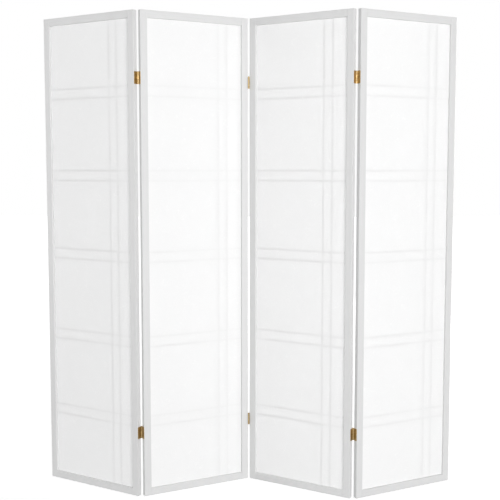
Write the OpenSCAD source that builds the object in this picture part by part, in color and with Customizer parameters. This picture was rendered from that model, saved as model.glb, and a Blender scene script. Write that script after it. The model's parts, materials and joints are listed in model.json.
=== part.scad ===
// Four-panel folding shoji screen, standing open in a zigzag.
// Each panel is a white wooden frame with one sheet of paper and a lattice of paired bars.
// The papered back of the screen faces -Y, the lattice faces +Y, and the floor is at Z = 0.
// Within a panel, X runs from its left edge, Y from its papered face and Z from the floor.

/* [Screen] */
// Angle that each pair of neighbouring panels is folded away from a flat line
fold_angle = 60; // [40:1:110]

/* [Panel frame] */
// Height of a panel
panel_h = 1784; // [1500:1:2100]
// Width of a panel
panel_w = 436; // [360:1:600]
// Thickness of the frame
panel_t = 19; // [18:0.5:26]
// Face width of the upright frame members
stile_w = 27; // [25:0.5:45]
// Face width of the top and bottom frame members
rail_w = 27.5; // [24:0.5:60]
// Width of the bevel along the edges of the frame members and around the ends of the stiles
edge_bevel = 0.8; // [0.3:0.1:1.5]

/* [Frame joints] */
// Diameter of the dowels that hold the rails to the stiles
dowel_d = 6; // [4:0.5:8]
// Length of a dowel
dowel_len = 36; // [24:1:42]
// Distance between the two dowels of a corner
dowel_pitch = 13; // [10:0.5:15]
// Gap around a dowel in its hole
dowel_gap = 0.05; // [0.02:0.01:0.2]
// Depth left empty past the end of a dowel, bar or sheet in its hole
end_gap = 0.5; // [0.2:0.1:1]

/* [Paper] */
// Depth of the paper behind the papered face of the frame
paper_depth = 8; // [5:0.5:9]
// Thickness of the laminated paper
paper_t = 0.5; // [0.3:0.1:1]
// Width of paper held in the groove of the frame
paper_tuck = 3.5; // [2:0.5:5]
// Gap on each side of the paper in its groove
paper_gap = 0.1; // [0.05:0.05:0.3]

/* [Lattice] */
// Face width of a lattice bar
bar_w = 7; // [5:0.5:10]
// Thickness of a lattice bar
bar_t = 7; // [5:0.5:8]
// Number of pairs of cross bars
pair_count = 5; // [3:1:6]
// Distance between the two cross bars of a pair
cross_pitch = 37.5; // [25:0.5:60]
// Height of the pairs above their even places, from the lowest pair up
pair_shift = [-4, -9, 1.5, -3.5, -0.5]; // [-15:0.5:15]
// Distance between the two upright bars
upright_pitch = 36; // [25:0.5:60]
// Distance of the middle of the upright pair from the right edge of its panel
upright_inset = 105; // [90:1:150]
// Depth of a bar's end in the frame
bar_seat = 5; // [3:0.5:8]
// Gap around a bar's end in the frame, and beside a bar in a half-lap
bar_gap = 0.1; // [0.05:0.05:0.3]

/* [Hinges] */
// Height of a hinge
hinge_h = 45; // [36:1:70]
// Distance of the middle of a hinge from the end of its panel
hinge_inset = 240; // [100:1:400]
// Thickness of a hinge leaf
leaf_t = 1.2; // [1:0.1:1.6]
// Distance of a leaf from the far face of its panel
leaf_inset = 1; // [0.5:0.1:4]
// Radius of the two outer corners of a leaf
leaf_corner = 2.5; // [1:0.5:4]
// Gap between the leaves when two panels stand in one line
leaf_gap = 0.6; // [0.4:0.1:1.5]
// Number of knuckles of a hinge
knuckle_count = 5; // [3:2:7]
// Outer diameter of the knuckles
knuckle_d = 6; // [5:0.1:7]
// Gap between knuckles, and between a knuckle and the other leaf
knuckle_gap = 0.2; // [0.1:0.05:0.4]
// Gap between the knuckles and the face of the panel
face_gap = 0.2; // [0.15:0.05:1]
// Diameter of a hinge pin
pin_d = 2.8; // [2:0.1:3.2]
// Gap around the pin in the knuckles that hold it
pin_held_gap = 0.02; // [0.01:0.01:0.04]
// Gap around the pin in the knuckles that turn on it
pin_free_gap = 0.06; // [0.05:0.01:0.1]
// Diameter of the button on top of a pin
button_d = 4.4; // [3.6:0.1:4.8]
// Height of the button on top of a pin
button_h = 0.9; // [0.5:0.1:2]

/* [Hinge screws] */
// Length of a hinge screw
screw_len = 16; // [10:0.5:19]
// Diameter of a screw's shank
shank_d = 2.6; // [2:0.1:3]
// Diameter of a screw's head
head_d = 4.8; // [4:0.1:5]
// Length of a screw's point
point_len = 4; // [2:0.5:6]
// Gap around a screw in the leaf and in the wood
screw_gap = 0.05; // [0.02:0.01:0.1]
// Distance between neighbouring screws along a leaf
screw_pitch = 15; // [10:0.5:16]
// Distance of the outer screws towards the far edge of the leaf from the middle one
screw_stagger = 5; // [0:0.5:6]
// Width of the slot in a screw's head
slot_w = 0.7; // [0.4:0.1:1]
// Depth of the slot in a screw's head
slot_depth = 0.5; // [0.3:0.1:0.8]

/* [Hidden] */
$fn = 48;
panel_count = 4;
eps = 0.01;
dowel_bevel = 0.8;
pin_bevel = 0.3;
knuckle_bevel = 0.4;

wood_white = "#ecebe7";
paper_white = "#fbfaf6";
dowel_beech = "#d8bd8f";
brass = "#a9853f";

// Openings and places inside a panel
opening_w = panel_w - 2 * stile_w;
opening_h = panel_h - 2 * rail_w;
bar_back = paper_depth + paper_t;
pair_step = (panel_h + cross_pitch) / (pair_count + 1);
cross_heights = [
    for (i = [0:pair_count - 1], side = [-1, 1])
        (i + 1) * pair_step - cross_pitch / 2 + nudge(i) + side * cross_pitch / 2
];
upright_places = [
    for (side = [-1, 1]) panel_w - upright_inset + side * upright_pitch / 2
];
dowel_heights = [
    for (rail_z = [rail_w / 2, panel_h - rail_w / 2], side = [-1, 1])
        rail_z + side * dowel_pitch / 2
];

// Places of a hinge: its pin stands clear of the face on the side where the panels fold together
edge_gap = 2 * leaf_t + leaf_gap;
pin_out = knuckle_d / 2 + face_gap;
hinge_heights = [hinge_inset, panel_h - hinge_inset];
knuckle_h = (hinge_h - (knuckle_count - 1) * knuckle_gap) / knuckle_count;
leaf_w = panel_t - leaf_inset + pin_out;
head_h = (head_d - shank_d) / 2;
screw_row = -pin_out - panel_t / 2 + screw_stagger / 2;
screw_places = [
    for (i = [-1:1]) [screw_row - abs(i) * screw_stagger, hinge_h / 2 + i * screw_pitch]
];

panel_pieces = [
    "left_stile", "right_stile", "top_rail", "bottom_rail", "cross_bars", "upright_bars",
    "paper", "dowels", "screws"
];
hinge_pieces = ["left_leaf", "right_leaf", "pin"];
hinge_names = ["lower", "upper"];

function panel_node(p, piece) = str("panel_", p, "_", piece);
function hinge_node(j, level, piece) =
    str("hinge_", j, j + 1, "_", hinge_names[level], "_", piece);

// Shift of a pair of cross bars, zero where no value is given
function nudge(i) = i < len(pair_shift) ? pair_shift[i] : 0;

// Odd panels run towards the viewer of the papered side and even panels run away
function panel_yaw(p) = (p % 2 == 1 ? -1 : 1) * fold_angle / 2;
function turned(v, a) = [v.x * cos(a) - v.y * sin(a), v.x * sin(a) + v.y * cos(a)];

// Odd joints have their pins on the lattice side and even joints on the papered side
function pin_on_lattice(j) = j % 2 == 1;
function pin_y(j) = pin_on_lattice(j) ? panel_t + pin_out : -pin_out;
function chain_corner(p) =
    p == 1 ? [0, 0]
    : chain_pin(p - 1) + turned([edge_gap / 2, -pin_y(p - 1)], panel_yaw(p));
function chain_pin(j) =
    chain_corner(j) + turned([panel_w + edge_gap / 2, pin_y(j)], panel_yaw(j));

// The middle of the standing screen's outline lies at X = 0, Y = 0
near_y = (chain_corner(1) + turned([panel_w, 0], panel_yaw(1))).y;
far_y = max(
    (chain_corner(1) + turned([0, panel_t], panel_yaw(1))).y,
    (chain_corner(2) + turned([panel_w, panel_t], panel_yaw(2))).y
);
middle = [chain_pin(2).x, (near_y + far_y) / 2];

module at_panel(p) {
    corner = chain_corner(p) - middle;
    translate([corner.x, corner.y, 0]) rotate([0, 0, panel_yaw(p)]) children();
}

// Mirrors a shape drawn for the left side of a panel to its right side
module on_right() {
    translate([panel_w, 0, 0]) mirror([1, 0, 0]) children();
}

// Section of a frame member with bevelled edges
module member_section(width, depth) {
    b = edge_bevel;
    polygon([
        [b, 0], [width - b, 0], [width, b], [width, depth - b],
        [width - b, depth], [b, depth], [0, depth - b], [0, b]
    ]);
}

// Solid of revolution about Z from a bevelled rod outline
module bevelled_rod(d, length, bevel) {
    rotate_extrude()
        polygon([
            [0, 0], [d / 2 - bevel, 0], [d / 2, bevel],
            [d / 2, length - bevel], [d / 2 - bevel, length], [0, length]
        ]);
}

// Dowel holes through the joint plane between a stile and the rails, at X = stile_w
module dowel_holes() {
    hole_len = dowel_len + 2 * end_gap;
    for (z = dowel_heights)
        translate([stile_w - hole_len / 2, panel_t / 2, z])
            rotate([0, 90, 0]) cylinder(d = dowel_d + 2 * dowel_gap, h = hole_len);
}

// Space that the paper takes in the frame, with its groove all round
module paper_space() {
    reach = paper_tuck + end_gap;
    translate([stile_w - reach, paper_depth - paper_gap, rail_w - reach])
        cube([opening_w + 2 * reach, paper_t + 2 * paper_gap, opening_h + 2 * reach]);
}

// Space for the ends of the cross bars and upright bars in the frame
module bar_spaces() {
    reach = bar_seat + end_gap;
    width = bar_w + 2 * bar_gap;
    depth = bar_t + 2 * bar_gap;
    for (z = cross_heights)
        translate([stile_w - reach, bar_back - bar_gap, z - width / 2])
            cube([opening_w + 2 * reach, depth, width]);
    for (x = upright_places)
        translate([x - width / 2, bar_back - bar_gap, rail_w - reach])
            cube([width, depth, opening_h + 2 * reach]);
}

// Places the children at every screw of one leaf, in the frame of a hinge
module each_screw() {
    for (place = screw_places)
        translate([-edge_gap / 2 + leaf_t, place.x, place.y])
            rotate([0, -90, 0]) children();
}

// Places a hinge half in a panel, drawn as the left leaf with its pin on the lattice side
module at_hinge(j, level, on_left_panel) {
    pin_x = on_left_panel ? panel_w + edge_gap / 2 : -edge_gap / 2;
    translate([pin_x, pin_y(j), hinge_heights[level] - hinge_h / 2])
        mirror([on_left_panel ? 0 : 1, 0, 0])
            mirror([0, pin_on_lattice(j) ? 0 : 1, 0])
                children();
}

// Places the children at each hinge half that is screwed to a panel
module each_hinge_half(p) {
    for (level = [0, 1]) {
        if (p < panel_count) at_hinge(p, level, true) children();
        if (p > 1) at_hinge(p - 1, level, false) children();
    }
}

module pilot_holes(p) {
    each_hinge_half(p) each_screw() {
        translate([0, 0, leaf_t - eps])
            cylinder(d = shank_d + 2 * screw_gap, h = screw_len - leaf_t + end_gap);
    }
}

// Blank of a stile, bevelled along its edges and around its ends except beside the rails
module stile_blank() {
    intersection() {
        linear_extrude(height = panel_h) member_section(stile_w, panel_t);
        rotate([90, 0, 90]) linear_extrude(height = stile_w) member_section(panel_t, panel_h);
        translate([0, panel_t, 0]) rotate([90, 0, 0])
            linear_extrude(height = panel_t) member_section(2 * stile_w, panel_h);
    }
}

module stile() {
    difference() {
        stile_blank();
        dowel_holes();
        paper_space();
        bar_spaces();
    }
}

module left_stile(p) {
    color(wood_white) difference() {
        stile();
        pilot_holes(p);
    }
}

module right_stile(p) {
    color(wood_white) difference() {
        on_right() stile();
        pilot_holes(p);
    }
}

// A rail, with its outer edge at the floor or at the top of the panel
module rail(z) {
    color(wood_white) difference() {
        translate([stile_w, 0, z]) rotate([90, 0, 90])
            linear_extrude(height = opening_w) member_section(panel_t, rail_w);
        dowel_holes();
        on_right() dowel_holes();
        paper_space();
        bar_spaces();
    }
}

module paper() {
    color(paper_white)
        translate([stile_w - paper_tuck, paper_depth, rail_w - paper_tuck])
            cube([opening_w + 2 * paper_tuck, paper_t, opening_h + 2 * paper_tuck]);
}

// Cross bars, half cut away on the lattice side where the upright bars pass
module cross_bars() {
    color(wood_white) difference() {
        for (z = cross_heights)
            translate([stile_w - bar_seat, bar_back, z - bar_w / 2])
                cube([opening_w + 2 * bar_seat, bar_t, bar_w]);
        for (x = upright_places)
            translate([x - bar_w / 2 - bar_gap, bar_back + bar_t / 2, rail_w])
                cube([bar_w + 2 * bar_gap, bar_t, opening_h]);
    }
}

// Upright bars, half cut away on the paper side where the cross bars pass
module upright_bars() {
    color(wood_white) difference() {
        for (x = upright_places)
            translate([x - bar_w / 2, bar_back, rail_w - bar_seat])
                cube([bar_w, bar_t, opening_h + 2 * bar_seat]);
        for (z = cross_heights)
            translate([stile_w, bar_back - bar_t / 2, z - bar_w / 2 - bar_gap])
                cube([opening_w, bar_t, bar_w + 2 * bar_gap]);
    }
}

module corner_dowels() {
    for (z = dowel_heights)
        translate([stile_w - dowel_len / 2, panel_t / 2, z])
            rotate([0, 90, 0]) bevelled_rod(dowel_d, dowel_len, dowel_bevel);
}

module dowels() {
    color(dowel_beech) {
        corner_dowels();
        on_right() corner_dowels();
    }
}

// Countersunk screw with its head's face at Z = 0 and its point upwards
module screw() {
    difference() {
        rotate_extrude()
            polygon([
                [0, 0], [head_d / 2, 0], [shank_d / 2, head_h],
                [shank_d / 2, screw_len - point_len], [0, screw_len]
            ]);
        translate([-head_d, -slot_w / 2, -slot_depth])
            cube([2 * head_d, slot_w, 2 * slot_depth]);
    }
}

module screws(p) {
    color(brass) each_hinge_half(p) each_screw() screw();
}

function is_mine(i, on_left_panel) = (i % 2 == 0) == on_left_panel;
function knuckle_z(i) = i * (knuckle_h + knuckle_gap);

// Flat of a leaf in its own plane, with X across it and Y up
module leaf_outline(on_left_panel) {
    far_x = -leaf_w;
    near_x = -knuckle_d / 2 - knuckle_gap;
    square_x = far_x + leaf_corner;
    translate([square_x, 0]) square([near_x - square_x, hinge_h]);
    translate([far_x, leaf_corner]) square([leaf_w + near_x, hinge_h - 2 * leaf_corner]);
    for (y = [leaf_corner, hinge_h - leaf_corner])
        translate([square_x, y]) circle(r = leaf_corner);
    for (i = [0:knuckle_count - 1]) if (is_mine(i, on_left_panel))
        translate([near_x - eps, knuckle_z(i)]) square([eps - near_x, knuckle_h]);
}

// A hinge leaf with its knuckles, drawn as the left one with its pin axis on Z
module leaf(on_left_panel) {
    bore_d = pin_d + 2 * (on_left_panel ? pin_held_gap : pin_free_gap);
    color(brass) difference() {
        union() {
            translate([-edge_gap / 2 + leaf_t, 0, 0]) rotate([90, 0, -90]) mirror([1, 0, 0])
                linear_extrude(height = leaf_t) leaf_outline(on_left_panel);
            for (i = [0:knuckle_count - 1]) if (is_mine(i, on_left_panel))
                translate([0, 0, knuckle_z(i)])
                    bevelled_rod(knuckle_d, knuckle_h, knuckle_bevel);
        }
        translate([0, 0, -eps]) cylinder(d = bore_d, h = hinge_h + 2 * eps);
        each_screw() {
            translate([0, 0, -eps])
                cylinder(d = shank_d + 2 * screw_gap, h = leaf_t + 2 * eps);
            translate([0, 0, -screw_gap])
                cylinder(d1 = head_d + 4 * screw_gap, d2 = shank_d, h = head_h + 2 * screw_gap);
        }
    }
}

// Pin with a button on its upper end
module pin() {
    color(brass) {
        bevelled_rod(pin_d, hinge_h + eps, pin_bevel);
        translate([0, 0, hinge_h]) bevelled_rod(button_d, button_h, pin_bevel);
    }
}

for (p = [1:panel_count]) {
    at_panel(p) left_stile(p);
    at_panel(p) right_stile(p);
    at_panel(p) rail(panel_h - rail_w);
    at_panel(p) rail(0);
    at_panel(p) cross_bars();
    at_panel(p) upright_bars();
    at_panel(p) paper();
    at_panel(p) dowels();
    at_panel(p) screws(p);
}

for (j = [1:panel_count - 1], level = [0, 1]) {
    at_panel(j) at_hinge(j, level, true) leaf(true);
    at_panel(j + 1) at_hinge(j, level, false) leaf(false);
    at_panel(j) at_hinge(j, level, true) pin();
}
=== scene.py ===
"""Looks of the four-panel folding shoji screen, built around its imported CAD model.

The papered back of the screen faces -Y and its lattice faces +Y, as in the frame.
Lengths are in metres, unless a name says otherwise.
"""
import json
import math

import bpy
from mathutils import Matrix, Vector


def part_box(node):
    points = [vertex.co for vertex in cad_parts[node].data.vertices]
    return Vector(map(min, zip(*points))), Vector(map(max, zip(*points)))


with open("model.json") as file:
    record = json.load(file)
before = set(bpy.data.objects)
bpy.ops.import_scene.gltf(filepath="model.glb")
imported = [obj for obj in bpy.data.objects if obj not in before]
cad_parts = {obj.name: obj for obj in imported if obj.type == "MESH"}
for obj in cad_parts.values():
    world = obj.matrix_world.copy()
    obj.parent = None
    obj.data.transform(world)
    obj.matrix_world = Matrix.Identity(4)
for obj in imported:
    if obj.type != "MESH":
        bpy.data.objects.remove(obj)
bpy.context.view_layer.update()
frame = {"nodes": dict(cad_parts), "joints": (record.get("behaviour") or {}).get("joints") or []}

# Camera, at the photograph's viewing angle
CAMERA_PLACE = Vector((0.1146, -3.4355, 1.2181))
CAMERA_DOWN = math.radians(5.06)
CAMERA_TURN = math.radians(1.78)
PHOTO_PIXELS = 500
FOCAL_PIXELS = 918.4
SENSOR_MM = 36.0

# Axes of a panel
ACROSS = 0
UP = 2

# Pieces, by what dresses them
PANELS = (1, 2, 3, 4)
UPRIGHT_PIECES = ("left_stile", "right_stile", "upright_bars")
LEVEL_PIECES = ("top_rail", "bottom_rail", "cross_bars")
HINGES = [f"hinge_{pair}_{level}" for pair in ("12", "23", "34") for level in ("lower", "upper")]
HINGE_PIECES = ("left_leaf", "right_leaf", "pin")

# The fold at rest is the angle by which a joint can still open, and each panel is turned by half of it
OPENING_DEGREES = -frame["joints"][0]["range_deg"][0]
HALF_FOLD = math.radians(OPENING_DEGREES / 2)

# Edges of bars that lie further apart than this are two edges
EDGE_APART = 0.001

# Colours, as they show under plain light
PAINT_WHITE = (0.765, 0.765, 0.765)
PAPER_WHITE = (0.948, 0.948, 0.948)
FIBRE_WHITE = (0.968, 0.968, 0.963)
# Grey of the bands along the bars: paste, and also painted shade of the bars seen through the paper
PASTE_AND_BAR_SHADE_GREY = (0.78, 0.78, 0.775)
BRASS_BRIGHT = (0.585, 0.45, 0.245)
BRASS_DULL = (0.27, 0.20, 0.105)
BEECH_LIGHT = (0.69, 0.51, 0.28)
BEECH_DARK = (0.52, 0.35, 0.17)
FLOOR_PALE = (0.62, 0.62, 0.62)
WHITE = (1, 1, 1)

# Share of a colour that is left in slow clouds, in the paint's pores and in the paper's pulp
CLOUD_SHADE = 0.985
PORE_SHADE = 0.95
PULP_SHADE = 0.965

# The middle of any noise, and the parts of its range that are stretched from 0 to 1
NOISE_MIDDLE = 0.5
MOST = (0.3, 0.7)
CORE = (0.35, 0.65)

# Paint: cells of its noises, as length along the grain and width across it, or as a cube's side,
# the noise over which its pores open, its roughness from least to most, and its relief
PORE_CELL = (0.045, 0.0011)
STROKE_CELL = (0.16, 0.0007)
BAND_CELL = (0.5, 0.012)
PEEL_CELL = 0.0016
SMUDGE_CELL = 0.11
PORES_OPEN = (0.36, 0.5)
PAINT_ROUGHNESS = (0.34, 0.44)
STROKE_ROUGHNESS = (-0.03, 0.05)
SKIN_DEPTH = 0.00002
STROKE_DEPTH = 0.00003
PORE_DEPTH = 0.00005

# Paper: cells of its noises, the noise over which its pulp thickens, how far light spreads in it,
# and its relief
PULP_CLOUD_CELL = 0.05
PULP_CELL = 0.0045
TOOTH_CELL = 0.0007
SLACK_CELL = (0.22, 0.22, 0.35)
PULP_RANGE = (0.32, 0.68)
PAPER_REACH = 0.0005
TOOTH_DEPTH = 0.00002
PULP_DEPTH = 0.00006
SLACK_DEPTH = 0.0012

# Fibres: how many of a fibre's cells one break takes, and the noise over which a fibre fades in
BREAK_CELLS = 1.7
FIBRE_FADE = (0.5, 0.58)

# Paste between bars and paper, together with painted shade of the bars behind the paper: how much they
# grey the paper, and the band's blurred and ragged edge
PASTE_AND_BAR_SHADE_SHARE = 0.1
PASTE_AND_BAR_SHADE_BLUR = 0.0004
PASTE_AND_BAR_SHADE_RAGGED = (-0.0003, 0.0004)

# Brass: a dull film in patches, spots in it, scratches along the barrel, and its roughness and relief
FILM_CELL = 0.006
SPOT_CELL = 0.0011
SCRATCH_CELL = (0.0003, 0.0003, 0.012)
FILM_PATCHES = (0.38, 0.66)
SPOT_RANGE = (0.3, 0.6)
SPOT_DULL = (0.6, 1.0)
BRASS_ROUGHNESS = (0.24, 0.46)
SCRATCH_ROUGHNESS = (-0.04, 0.06)
BRASS_DEPTH = 0.00001

# Beech: rings and flecks along a dowel
RING_CELL = (0.05, 0.0016, 0.0016)
FLECK_CELL = (0.003, 0.0005, 0.0005)
FLECK_RANGE = (0.3, 0.4)
FLECK_DEPTH = 0.00005

# Light on the object, and what the camera and the metal see behind it
WORLD_STRENGTH = 0.4
SEEN_WHITE = 1.0

# Soft lamps that all aim at one point: place, width and height, and watts
LAMP_AIM = Vector((0.0, 0.0, 0.9))
LAMPS = {
    "key_light": (Vector((2.5, -6.7, 1.6)), (5.0, 3.2), 311),
    "side_light": (Vector((-5.85, -1.2, 0.9)), (2.4, 3.2), 65),
    "back_light": (Vector((2.2, 4.4, 1.7)), (2.4, 2.4), 130),
}

# Floor, and its glow for the camera, which grows over this span of distances
FLOOR_SIZE = 40.0
FLOOR_CLOUD_CELL = 0.4
GLOW_SPAN = (1.5, 6.0)
GLOW_RANGE = (0.62, 0.95)

# Colour sockets of a Mix node, whose names its other sockets share
MIX_A = 6
MIX_B = 7
MIX_RESULT = 2


def shade(colour, share):
    """A colour with this share of its brightness."""
    return tuple(channel * share for channel in colour)


def opaque(colour):
    """A colour with its alpha, or the socket that gives it."""
    return colour if isinstance(colour, bpy.types.NodeSocket) else (*colour, 1)


def cube(side):
    """A cell with equal sides."""
    return (side,) * 3


def show(thing):
    """Puts an object into the scene."""
    bpy.context.scene.collection.objects.link(thing)


class Nodes:
    """A node tree that is being built."""

    def __init__(self, tree):
        self.tree = tree

    def feed(self, socket, value):
        """Links or sets one input."""
        if isinstance(value, bpy.types.NodeSocket):
            self.tree.links.new(value, socket)
        else:
            socket.default_value = value

    def add(self, kind, inputs, **settings):
        """A new node with its settings and its inputs, by name or number."""
        node = self.tree.nodes.new("ShaderNode" + kind)
        for name, value in settings.items():
            setattr(node, name, value)
        for name, value in inputs.items():
            self.feed(node.inputs[name], value)
        return node

    def math(self, operation, a, b=0.0):
        """The result of one operation."""
        return self.add("Math", {0: a, 1: b}, operation=operation).outputs["Value"]

    def spread(self, value, low, high, to_low=0.0, to_high=1.0):
        """Maps a range of values to another, held at its ends."""
        node = self.add("MapRange", {
            "Value": value, "From Min": low, "From Max": high, "To Min": to_low, "To Max": to_high,
        })
        return node.outputs["Result"]

    def seen_from_outside(self):
        """1 for camera rays and for what shines in metal, 0 for the light that falls on things."""
        path = self.add("LightPath", {}).outputs
        sharp = self.math("MAXIMUM", path["Is Camera Ray"], path["Is Glossy Ray"])
        return self.math("MAXIMUM", sharp, path["Is Transmission Ray"])


class Surface(Nodes):
    """One new material, laid out from the middle of its panel and turned with it."""

    def __init__(self, name, middle=(0, 0, 0), yaw=0.0):
        self.material = bpy.data.materials.new(name)
        self.material.use_nodes = True
        super().__init__(self.material.node_tree)
        self.shader = self.tree.nodes["Principled BSDF"]
        self.middle = middle
        self.yaw = yaw

    def place(self, cell=(1, 1, 1), shift=0.0):
        """Coordinates along the panel's own axes, counted in cells from its middle or beside it."""
        x, y, z = self.middle
        mapping = self.add("Mapping", {
            "Vector": self.add("TexCoord", {}).outputs["Object"],
            "Location": (x + shift, y, z + shift), "Rotation": (0, 0, self.yaw), "Scale": cell,
        }, vector_type="TEXTURE")
        return mapping.outputs["Vector"]

    def noise(self, cell, detail=4.0, roughness=0.55, distortion=0.0, shift=0.0):
        """Cloudy noise of about one blotch a cell, from 0 to 1."""
        node = self.add("TexNoise", {
            "Vector": self.place(cell, shift), "Scale": 1.0, "Detail": detail,
            "Roughness": roughness, "Distortion": distortion,
        })
        return node.outputs["Fac"]

    def blend(self, share, a, b):
        """Colour a where share is 0 and colour b where it is 1."""
        colours = {MIX_A: opaque(a), MIX_B: opaque(b)}
        return self.add("Mix", {"Factor": share, **colours}, data_type="RGBA").outputs[MIX_RESULT]

    def bump(self, height, depth, below=None):
        """A bump whose height goes from 0 to 1 over this depth, on top of the bump below."""
        node = self.add("Bump", {"Height": height, "Strength": 1.0, "Distance": depth})
        if below is not None:
            self.feed(node.inputs["Normal"], below)
        return node.outputs["Normal"]

    def finish(self, **inputs):
        """Sets the shader's own inputs, with _ for a space in their names."""
        for name, value in inputs.items():
            self.feed(self.shader.inputs[name.replace("_", " ")], value)
        return self.material


def painted_wood(name, middle, yaw, grain):
    """White satin paint over fine wood grain that runs along grain, an axis of the panel."""
    s = Surface(name, middle, yaw)

    def along(length, width):
        cell = [width] * 3
        cell[grain] = length
        return cell

    pores = s.spread(s.noise(along(*PORE_CELL), detail=5, roughness=0.62), *PORES_OPEN)
    strokes = s.noise(along(*STROKE_CELL), detail=3, roughness=0.5)
    bands = s.noise(along(*BAND_CELL), detail=3, roughness=0.5, distortion=0.3)
    peel = s.noise(cube(PEEL_CELL), detail=2, roughness=0.4)
    smudge = s.noise(cube(SMUDGE_CELL), detail=3)

    tone = s.blend(s.spread(bands, *CORE), shade(PAINT_WHITE, CLOUD_SHADE), PAINT_WHITE)
    colour = s.blend(pores, shade(PAINT_WHITE, PORE_SHADE), tone)
    satin = s.spread(smudge, *MOST, *PAINT_ROUGHNESS)
    rough = s.math("ADD", satin, s.spread(strokes, *MOST, *STROKE_ROUGHNESS))
    brushed = s.bump(strokes, STROKE_DEPTH, below=s.bump(peel, SKIN_DEPTH))
    normal = s.bump(pores, PORE_DEPTH, below=brushed)
    return s.finish(Base_Color=colour, Roughness=rough, Normal=normal, Specular_IOR_Level=0.45)


def rice_paper(name, middle, yaw, bars):
    """Laminated rice paper that lets some light through, with long fibres in its pulp.

    Each bar behind it is an axis of the panel, the bar's middle and half its width.
    """
    s = Surface(name, middle, yaw)

    def fibres(cell, shift, thickness):
        """Wisps that follow the level lines of a slow noise, broken by another one."""
        level = s.noise(cube(cell), detail=1.5, roughness=0.5, distortion=0.4, shift=shift)
        beside = s.math("ABSOLUTE", s.math("SUBTRACT", level, NOISE_MIDDLE))
        line = s.spread(beside, 0.0, thickness, 1.0, 0.0)
        unbroken = s.spread(s.noise(cube(cell * BREAK_CELLS), detail=2), *FIBRE_FADE)
        return s.math("MULTIPLY", line, unbroken)

    cloud = s.noise(cube(PULP_CLOUD_CELL), detail=5, roughness=0.6)
    pulp = s.noise(cube(PULP_CELL), detail=5, roughness=0.65)
    tooth = s.noise(cube(TOOTH_CELL), detail=3, roughness=0.6)
    slack = s.noise(SLACK_CELL, detail=1)
    long_fibres = fibres(cell=0.055, shift=0.013, thickness=0.008)
    short_fibres = fibres(cell=0.021, shift=0.037, thickness=0.014)
    wisps = s.math("MAXIMUM", long_fibres, short_fibres)

    tone = s.blend(s.spread(cloud, *MOST), shade(PAPER_WHITE, CLOUD_SHADE), PAPER_WHITE)
    mottled = s.blend(s.spread(pulp, *PULP_RANGE), shade(PAPER_WHITE, PULP_SHADE), tone)
    fibrous = s.blend(wisps, mottled, FIBRE_WHITE)

    # Grey bands along each bar behind the paper: the paste line, and also painted shade of the bar
    # showing through
    within = s.add("SeparateXYZ", {"Vector": s.place()}).outputs
    ragged = s.spread(pulp, *MOST, *PASTE_AND_BAR_SHADE_RAGGED)
    pasted_and_shaded = 0.0
    for axis, centre, half in bars:
        away = s.math("ABSOLUTE", s.math("SUBTRACT", within[axis], centre))
        edge = s.math("ADD", away, ragged)
        band = s.spread(edge, half - PASTE_AND_BAR_SHADE_BLUR, half + PASTE_AND_BAR_SHADE_BLUR, PASTE_AND_BAR_SHADE_SHARE, 0.0)
        pasted_and_shaded = s.math("MAXIMUM", pasted_and_shaded, band)
    colour = s.blend(pasted_and_shaded, fibrous, PASTE_AND_BAR_SHADE_GREY)

    # Pulp and wisps stand out alike
    relief = s.math("MULTIPLY", s.math("ADD", pulp, wisps), 0.5)
    sheet = s.bump(relief, PULP_DEPTH, below=s.bump(slack, SLACK_DEPTH))
    normal = s.bump(tooth, TOOTH_DEPTH, below=sheet)
    return s.finish(
        Base_Color=colour, Roughness=0.82, Normal=normal, Specular_IOR_Level=0.25,
        Subsurface_Weight=1.0, Subsurface_Radius=(1.0, 1.0, 1.0), Subsurface_Scale=PAPER_REACH,
    )


def aged_brass(name):
    """Rolled brass with fine scratches and a dull film in patches."""
    s = Surface(name)
    film = s.spread(s.noise(cube(FILM_CELL), detail=5, roughness=0.65), *FILM_PATCHES)
    spots = s.noise(cube(SPOT_CELL), detail=3, roughness=0.6)
    scratches = s.noise(SCRATCH_CELL, detail=3, roughness=0.6)
    dull = s.math("MULTIPLY", film, s.spread(spots, *SPOT_RANGE, *SPOT_DULL))
    colour = s.blend(dull, BRASS_BRIGHT, BRASS_DULL)
    worn = s.spread(dull, 0, 1, *BRASS_ROUGHNESS)
    rough = s.math("ADD", worn, s.spread(scratches, *MOST, *SCRATCH_ROUGHNESS))
    normal = s.bump(scratches, BRASS_DEPTH, below=s.bump(spots, BRASS_DEPTH))
    return s.finish(Base_Color=colour, Roughness=rough, Normal=normal, Metallic=1.0)


def beech(name, middle, yaw):
    """Bare beech with short dark flecks, along a dowel."""
    s = Surface(name, middle, yaw)
    rings = s.noise(RING_CELL, detail=4)
    flecks = s.noise(FLECK_CELL, detail=3)
    tone = s.blend(s.spread(rings, *CORE), BEECH_DARK, BEECH_LIGHT)
    colour = s.blend(s.spread(flecks, *FLECK_RANGE), BEECH_DARK, tone)
    return s.finish(Base_Color=colour, Roughness=0.6, Normal=s.bump(flecks, FLECK_DEPTH))


def dress(node, material):
    """Gives a CAD node's object its material."""
    for slot in frame["nodes"][node].material_slots:
        slot.material = material


def bars_of(node, axis, middle, yaw):
    """Axis, centre and half width of each bar of a node, measured from the panel's middle."""
    piece = frame["nodes"][node]
    turn = Matrix.Rotation(-yaw, 3, "Z")
    places = [turn @ (piece.matrix_world @ corner.co - middle) for corner in piece.data.vertices]
    edges = []
    for place in sorted(place[axis] for place in places):
        if not edges or place - edges[-1] > EDGE_APART:
            edges.append(place)
    return [(axis, (low + high) / 2, (high - low) / 2) for low, high in zip(edges[::2], edges[1::2])]


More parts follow.
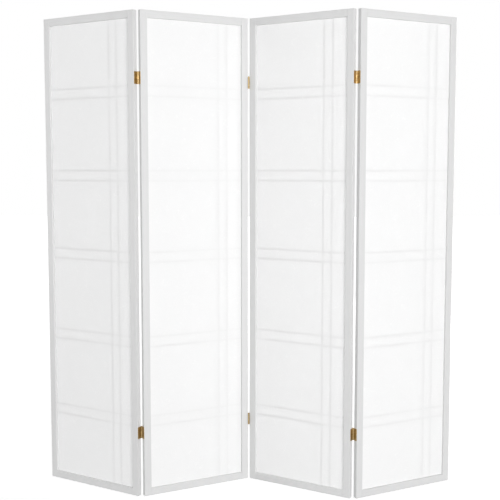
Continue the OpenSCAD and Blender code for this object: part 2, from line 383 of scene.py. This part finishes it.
def dress_panel(panel):
    """Materials of one panel, laid out in the panel's own axes."""
    lowest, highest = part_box(f"panel_{panel}_paper")
    middle = (lowest + highest) / 2
    yaw = -HALF_FOLD if panel % 2 else HALF_FOLD
    bars = bars_of(f"panel_{panel}_cross_bars", UP, middle, yaw)
    bars += bars_of(f"panel_{panel}_upright_bars", ACROSS, middle, yaw)
    upright = painted_wood(f"paint_{panel}_upright", middle, yaw, grain=UP)
    level = painted_wood(f"paint_{panel}_level", middle, yaw, grain=ACROSS)
    for piece in UPRIGHT_PIECES:
        dress(f"panel_{panel}_{piece}", upright)
    for piece in LEVEL_PIECES:
        dress(f"panel_{panel}_{piece}", level)
    dress(f"panel_{panel}_paper", rice_paper(f"rice_paper_{panel}", middle, yaw, bars))
    dress(f"panel_{panel}_dowels", beech(f"beech_{panel}", middle, yaw))


def pale_floor():
    """A plain pale surface that glows for the camera, and looks white where no shadow falls."""
    s = Surface("floor_pale")
    tone = s.spread(s.noise(cube(FLOOR_CLOUD_CELL), detail=3), *MOST)
    colour = s.blend(tone, shade(FLOOR_PALE, CLOUD_SHADE), FLOOR_PALE)
    away = s.add("VectorMath", {0: s.place()}, operation="LENGTH").outputs["Value"]
    glow = s.spread(away, *GLOW_SPAN, *GLOW_RANGE)
    return s.finish(
        Base_Color=colour, Roughness=0.9, Specular_IOR_Level=0.1, Emission_Color=opaque(WHITE),
        Emission_Strength=s.math("MULTIPLY", s.seen_from_outside(), glow),
    )


def make_floor():
    """A square floor under the object, which isn't part of it."""
    mesh = bpy.data.meshes.new("floor")
    half = FLOOR_SIZE / 2
    corners = [(-half, -half, 0), (half, -half, 0), (half, half, 0), (-half, half, 0)]
    mesh.from_pydata(corners, [], [(0, 1, 2, 3)])
    mesh.materials.append(pale_floor())
    floor = bpy.data.objects.new("floor", mesh)
    show(floor)


def make_world():
    """Even light from all round, and a white background."""
    world = bpy.data.worlds.new("studio")
    world.use_nodes = True
    bpy.context.scene.world = world
    sky = Nodes(world.node_tree)
    background = sky.tree.nodes["Background"].inputs
    strength = sky.spread(sky.seen_from_outside(), 0, 1, WORLD_STRENGTH, SEEN_WHITE)
    sky.feed(background["Strength"], strength)
    sky.feed(background["Color"], opaque(WHITE))


def make_lamp(name, place, size, power):
    """A rectangular soft lamp that the camera doesn't see."""
    light = bpy.data.lights.new(name, "AREA")
    light.shape = "RECTANGLE"
    light.size, light.size_y = size
    light.energy = power
    lamp = bpy.data.objects.new(name, light)
    show(lamp)
    lamp.location = place
    lamp.rotation_euler = (LAMP_AIM - place).to_track_quat("-Z", "Y").to_euler()
    lamp.visible_camera = False


def make_camera():
    """A camera that sees the object as the photograph does."""
    camera = bpy.data.cameras.new("camera")
    camera.sensor_width = SENSOR_MM
    camera.lens = SENSOR_MM * FOCAL_PIXELS / PHOTO_PIXELS
    eye = bpy.data.objects.new("camera", camera)
    show(eye)
    eye.location = CAMERA_PLACE
    eye.rotation_euler = (math.pi / 2 - CAMERA_DOWN, 0, CAMERA_TURN)
    bpy.context.scene.camera = eye


make_camera()
make_floor()
make_world()
for name, (place, size, power) in LAMPS.items():
    make_lamp(name, place, size, power)

brass = aged_brass("aged_brass")
for panel in PANELS:
    dress_panel(panel)
    dress(f"panel_{panel}_screws", brass)
for hinge in HINGES:
    for piece in HINGE_PIECES:
        dress(f"{hinge}_{piece}", brass)

bpy.context.scene.view_settings.view_transform = "Standard"
